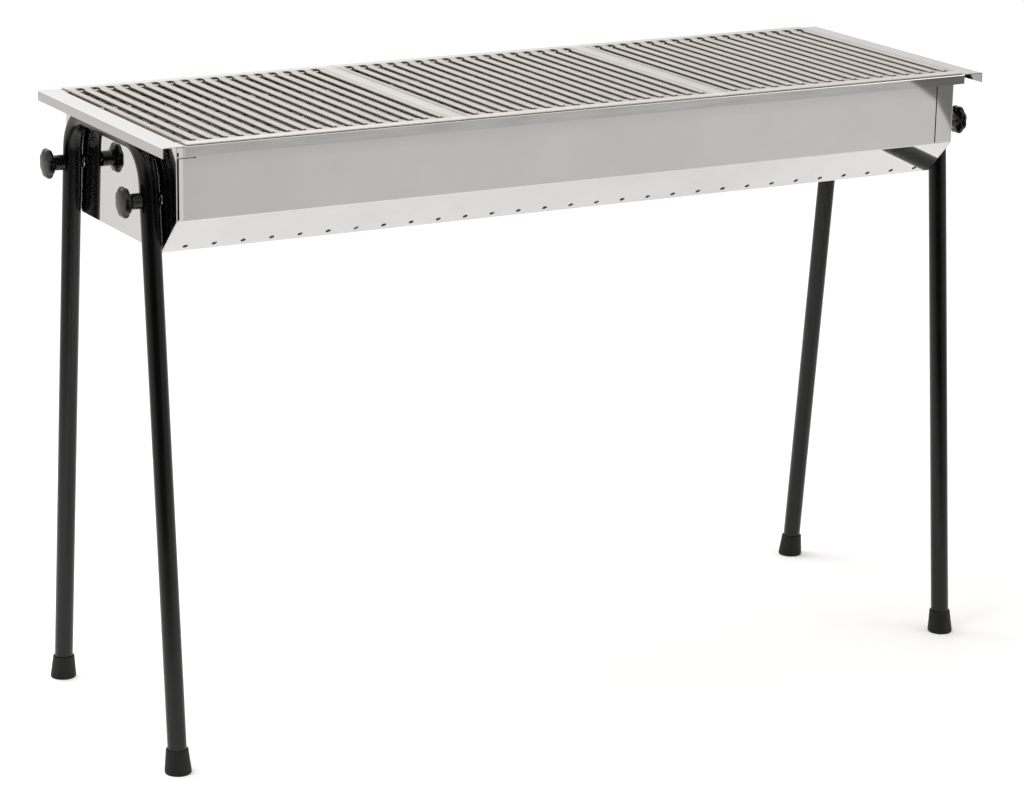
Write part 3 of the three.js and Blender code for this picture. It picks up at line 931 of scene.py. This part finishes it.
def knob(side_name, side, end_name, end):
    """A scalloped hand knob: a plain hub, a lobed head and a domed face."""
    base = TUBE_X + TUBE_RADIUS + CLEARANCE
    bore = STUD_RADIUS + CLEARANCE
    depth = 23.5 * MM
    points = [
        (depth, bore), (0.4 * MM, bore), (0.0, bore + 0.5 * MM), (0.0, 9.6 * MM), (0.7 * MM, 10.3 * MM),
        (12.2 * MM, 10.1 * MM), (13.8 * MM, 10.6 * MM), (15.4 * MM, 12.0 * MM), (16.6 * MM, 14.2 * MM),
        (17.5 * MM, 16.8 * MM), (18.6 * MM, 19.0 * MM), (20.2 * MM, 20.2 * MM), (22.0 * MM, 20.5 * MM),
        (23.8 * MM, 20.2 * MM), (25.2 * MM, 19.2 * MM), (26.1 * MM, 17.4 * MM), (26.7 * MM, 15.0 * MM),
        (27.2 * MM, 11.0 * MM), (27.7 * MM, 6.0 * MM), (27.9 * MM, 2.0 * MM)]
    lobes = 8

    def shape(i, angle, radius):
        if radius < 13 * MM:
            return radius
        depth_here = 1.5 * MM * min(1.0, (radius - 13 * MM) / (6 * MM))
        dip = 0.5 + 0.5 * math.cos(lobes * angle)
        return radius - depth_here * dip

    profile = [(base + along, radius) for along, radius in points]
    piece = revolve("knob", profile, clamp_place(side, end), segments=96, shape=shape)
    finish_piece(piece, f"knob_{end_name}_{side_name}", BLACK_PLASTIC, angle=45)


def stud(side_name, side, end_name, end):
    """An M8 stud with its thread cut as close rings."""
    inner, outer, pitch = 579.5 * MM, 639 * MM, 1.25 * MM
    root = STUD_RADIUS - 0.65 * MM
    profile = [(inner, root - 0.4 * MM)]
    along = inner + 0.4 * MM
    while along < outer - pitch:
        profile += [(along, root), (along + 0.45 * pitch, STUD_RADIUS), (along + 0.58 * pitch, STUD_RADIUS)]
        along += pitch
    profile += [(outer - 0.3 * MM, root), (outer, root - 0.3 * MM)]
    piece = revolve("stud", profile, clamp_place(side, end), segments=32)
    finish_piece(piece, f"stud_{end_name}_{side_name}", PLATED_STEEL, angle=20)


def weld_nut(side_name, side, end_name, end):
    """A hexagonal nut with chamfered corners."""
    outer = END_X - SHEET - CLEARANCE
    inner = outer - 6.5 * MM
    bore = STUD_RADIUS + CLEARANCE
    flat = 6.5 * MM
    corner = flat / math.cos(math.pi / 6)
    chamfer = 0.7 * MM
    mouth = 0.4 * MM  # the chamfer of the bore
    profile = [
        (outer, bore + mouth), (outer, flat), (outer - chamfer, corner), (inner + chamfer, corner),
        (inner, flat), (inner, bore + mouth), (inner + mouth, bore), (outer - mouth, bore)]

    def shape(i, angle, radius):
        if radius < flat:
            return radius
        within = (angle + math.pi / 6) % (math.pi / 3) - math.pi / 6
        return min(radius, flat / math.cos(within))

    piece = revolve("nut", profile, clamp_place(side, end), segments=48, shape=shape, closed=True)
    finish_piece(piece, f"weld_nut_{end_name}_{side_name}", PLATED_STEEL, angle=25)


def spacer(side_name, side, end_name, end):
    """A plain washer between an end plate and a leg's tube."""
    inner, outer = END_X + CLEARANCE / 2, TUBE_X - TUBE_RADIUS - CLEARANCE / 2
    soft = 0.2 * MM
    rim, bore = 9 * MM, STUD_HOLE
    profile = [(inner, bore), (inner, rim - soft), (inner + soft, rim), (outer - soft, rim),
               (outer, rim - soft), (outer, bore)]
    piece = revolve("spacer", profile, clamp_place(side, end), segments=40, closed=True)
    finish_piece(piece, f"spacer_{end_name}_{side_name}", PLATED_STEEL, angle=30)


# ---- Studio -------------------------------------------------------------------------------------
def floor():
    """A pale disc that fades out, so that it melts into the white surround."""
    disc = revolve("floor", [(-2 * MM, 6.0), (0.0, 6.0)], lambda z, x, y: (x, y, z), segments=96)
    material = bpy.data.materials.new("pale_floor")
    material.use_nodes = True
    nodes = Nodes(material.node_tree)
    output = nodes.add("ShaderNodeOutputMaterial")
    paint = nodes.add("ShaderNodeBsdfDiffuse")
    speckle = nodes.noise((1, 1, 1), 40.0, detail=3.0)
    nodes.link(nodes.mix(speckle, (0.93, 0.93, 0.93), (0.95, 0.95, 0.95)), paint.inputs["Color"])
    clear = nodes.add("ShaderNodeBsdfTransparent")
    place = nodes.add("ShaderNodeTexCoord")
    length = nodes.add("ShaderNodeVectorMath", operation="LENGTH")
    nodes.link(place.outputs["Object"], length.inputs[0])
    fade = nodes.ramp(length.outputs["Value"], 1.1, 1.9)
    blend = nodes.add("ShaderNodeMixShader")
    nodes.link(fade, blend.inputs["Fac"])
    nodes.link(paint.outputs["BSDF"], blend.inputs[1])
    nodes.link(clear.outputs["BSDF"], blend.inputs[2])
    glow = nodes.add("ShaderNodeEmission")
    path = nodes.add("ShaderNodeLightPath")
    nodes.link(nodes.ramp(path.outputs["Is Camera Ray"], 0, 1, 0.0, 0.07), glow.inputs["Strength"])
    lit = nodes.add("ShaderNodeAddShader")
    nodes.link(blend.outputs["Shader"], lit.inputs[0])
    nodes.link(glow.outputs["Emission"], lit.inputs[1])
    nodes.link(lit.outputs["Shader"], output.inputs["Surface"])
    disc.data.materials.append(material)
    disc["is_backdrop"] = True


def direction(azimuth, elevation):
    """A unit vector from angles in degrees: azimuth from straight ahead towards +X, elevation upwards."""
    azimuth, elevation = math.radians(azimuth), math.radians(elevation)
    level = math.cos(elevation)
    return Vector((math.sin(azimuth) * level, -math.cos(azimuth) * level, math.sin(elevation)))


EDGE_BLUR = 0.0003


def window(nodes, place, limits):
    """One in the directions whose product with each limit's vector is above its offset, zero elsewhere."""
    mask = None
    for vector, offset in limits:
        dot = nodes.add("ShaderNodeVectorMath", operation="DOT_PRODUCT")
        nodes.link(place.outputs["Generated"], dot.inputs[0])
        dot.inputs[1].default_value = vector
        inside = nodes.ramp(dot.outputs["Value"], offset - EDGE_BLUR, offset + EDGE_BLUR)
        mask = inside if mask is None else nodes.math("MULTIPLY", mask, inside)
    return mask


def band(left, right):
    """Limits that keep the directions between two azimuths in degrees."""
    up = Vector((0, 0, 1))
    return [(up.cross(direction(left, 0)), 0.0), (direction(right, 0).cross(up), 0.0)]


def above(elevation):
    return [(Vector((0, 0, 1)), math.sin(math.radians(elevation)))]


def below(elevation):
    return [(Vector((0, 0, -1)), -math.sin(math.radians(elevation)))]


def surround():
    """White to the camera. What the steel reflects is a bright room, dim on the camera's own side."""
    world = bpy.data.worlds.new("studio")
    bpy.context.scene.world = world
    world.use_nodes = True
    nodes = Nodes(world.node_tree)
    output = nodes.add("ShaderNodeOutputWorld")
    place = nodes.add("ShaderNodeTexCoord")
    towards = nodes.add("ShaderNodeVectorMath", operation="DOT_PRODUCT")
    nodes.link(place.outputs["Generated"], towards.inputs[0])
    towards.inputs[1].default_value = (math.sin(AZIMUTH), -math.cos(AZIMUTH), 0)
    facing = nodes.curve(towards.outputs["Value"], (
        (-1.0, 0.86), (-0.3, 0.86), (0.3, 0.74), (0.6, 0.64), (0.75, 0.35), (0.92, 0.06), (1.0, 0.04)))
    split = nodes.add("ShaderNodeSeparateXYZ")
    nodes.link(place.outputs["Generated"], split.inputs[0])
    height = nodes.curve(split.outputs["Z"], (
        (-1.0, 1.0), (-0.26, 1.02), (-0.2, 1.0), (-0.12, 0.75), (0.0, 0.6), (0.1, 0.9), (0.17, 1.25),
        (1.0, 1.28)))
    level = nodes.math("MULTIPLY", facing, height)
    right = nodes.curve(split.outputs["X"], ((-1.0, 1.0), (0.36, 1.0), (0.6, 0.72), (1.0, 0.7)))
    upper_half = nodes.ramp(split.outputs["Z"], 0.0, 0.1)
    level = nodes.math("MULTIPLY", level, nodes.mix_value(upper_half, 1.0, right))
    slant = direction(36.70, -10.96).cross(direction(36.06, -10.51)).normalized()
    flag = window(nodes, place, [(slant if slant.z > 0 else -slant, 0.0)] + band(35.5, 60.0) + below(-6.0))
    level = nodes.mix_value(flag, level, nodes.math("MULTIPLY", level, 0.3))
    side_box = window(nodes, place, band(34.6, 58.0) + above(1.0) + below(34.0))
    level = nodes.mix_value(side_box, level, 2.4)
    soft = nodes.add("ShaderNodeBackground")
    nodes.link(level, soft.inputs["Strength"])
    white = nodes.add("ShaderNodeBackground")
    path = nodes.add("ShaderNodeLightPath")
    blend = nodes.add("ShaderNodeMixShader")
    white.inputs["Color"].default_value = (1, 1, 1, 1)
    soft.inputs["Color"].default_value = (1, 0.985, 0.965, 1)
    nodes.link(path.outputs["Is Camera Ray"], blend.inputs["Fac"])
    nodes.link(soft.outputs["Background"], blend.inputs[1])
    nodes.link(white.outputs["Background"], blend.inputs[2])
    nodes.link(blend.outputs["Shader"], output.inputs["Surface"])


def softbox(name, location, target, size, power):
    light = bpy.data.lights.new(name, "AREA")
    light.shape = "RECTANGLE"
    light.size, light.size_y = size
    light.energy = power
    lamp = bpy.data.objects.new(name, light)
    lamp.location = location
    aim = Vector(target) - Vector(location)
    lamp.visible_glossy = False
    lamp.rotation_euler = aim.to_track_quat("-Z", "Y").to_euler()
    bpy.context.scene.collection.objects.link(lamp)


def camera():
    """A long lens from the front left, slightly above the rim."""
    elevation, roll = math.radians(16.05), math.radians(0.98)
    distance = 4.7625
    target = Vector((-0.0073, 0.0, 0.3676))
    level = math.cos(elevation)
    back = Vector((math.sin(AZIMUTH) * level, -math.cos(AZIMUTH) * level, math.sin(elevation)))
    data = bpy.data.cameras.new("camera")
    data.lens = 120.2
    data.sensor_width = 36
    eye = bpy.data.objects.new("camera", data)
    turn = (-back).to_track_quat("-Z", "Y").to_matrix().to_4x4() @ Matrix.Rotation(roll, 4, "Z")
    eye.matrix_world = Matrix.Translation(target + back * distance) @ turn
    bpy.context.scene.collection.objects.link(eye)
    bpy.context.scene.camera = eye


# ---- Build --------------------------------------------------------------------------------------
trough()
end_plates()
for place_name, place_index in PLACES:
    cooking_grate(place_name, place_index)
    charcoal_plate(place_name, place_index)
for side_name, side_sign in SIDES:
    bridge_bar(side_name, side_sign)
    leg_frame(side_name, side_sign)
    for end_name, end_sign in ENDS:
        where = (side_name, side_sign, end_name, end_sign)
        rubber_foot(*where)
        knob(*where)
        stud(*where)
        weld_nut(*where)
        spacer(*where)

floor()
surround()
softbox("overhead", (-0.8, 0.3, 2.6), (-0.3, 0, 0.4), (2.6, 1.8), 45)
camera()
bpy.context.scene.view_settings.view_transform = "Standard"

boxes = {"cad": cad_box, "visual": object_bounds()}
{key: [list(corner) for corner in box] for key, box in boxes.items()}
